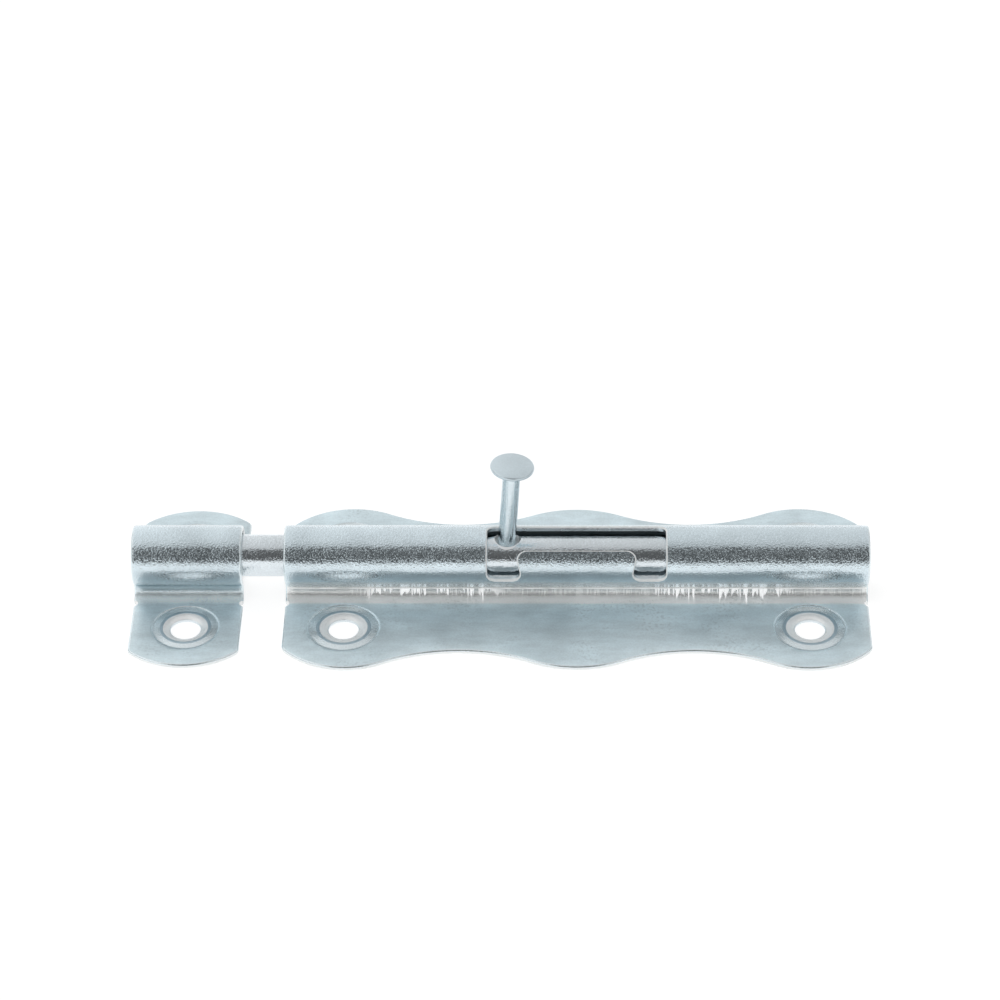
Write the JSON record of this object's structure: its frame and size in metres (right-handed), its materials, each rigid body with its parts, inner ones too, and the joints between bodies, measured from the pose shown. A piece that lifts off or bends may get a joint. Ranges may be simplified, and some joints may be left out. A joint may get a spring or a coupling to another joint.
{
  "type": "barrel bolt",
  "caption": "Surface barrel bolt: a round bolt with a knob pin slides and turns in a pressed wavy-edged plate with an L-shaped slot, and enters a matching keeper.",
  "frame": {"origin": "middle of the plate's four screw holes, on the mounting face", "axes": "+X along the bolt away from the keeper (the way it is withdrawn), -Y the side where the slot's notches open, +Z out of the mounting face towards the knob"},
  "size_m": [0.1513, 0.0534, 0.0324],
  "materials": {
    "plate_steel": "bright zinc plate on pressed sheet",
    "bolt_steel": "bright zinc plate on drawn round bar",
    "knob_steel": "pale matt zinc plate on a headed pin"
  },
  "bodies": {
    "mounting": {"back_plate": "plate_steel", "keeper": "plate_steel"},
    "carriage": {"bolt_rod_tail": "bolt_steel"},
    "bolt": {"bolt_rod": "bolt_steel", "knob_pin": "knob_steel"}
  },
  "joints": [
    {"name": "bolt_slide", "type": "slide", "parent": "mounting", "child": "carriage", "axis": [1, 0, 0], "range_m": [-0.0021, 0.0305]},
    {"name": "bolt_turn", "type": "hinge", "parent": "carriage", "child": "bolt", "pos_m": [0.02035, 0, 0.00895], "axis": [1, 0, 0], "range_deg": [0, 87]}
  ]
}
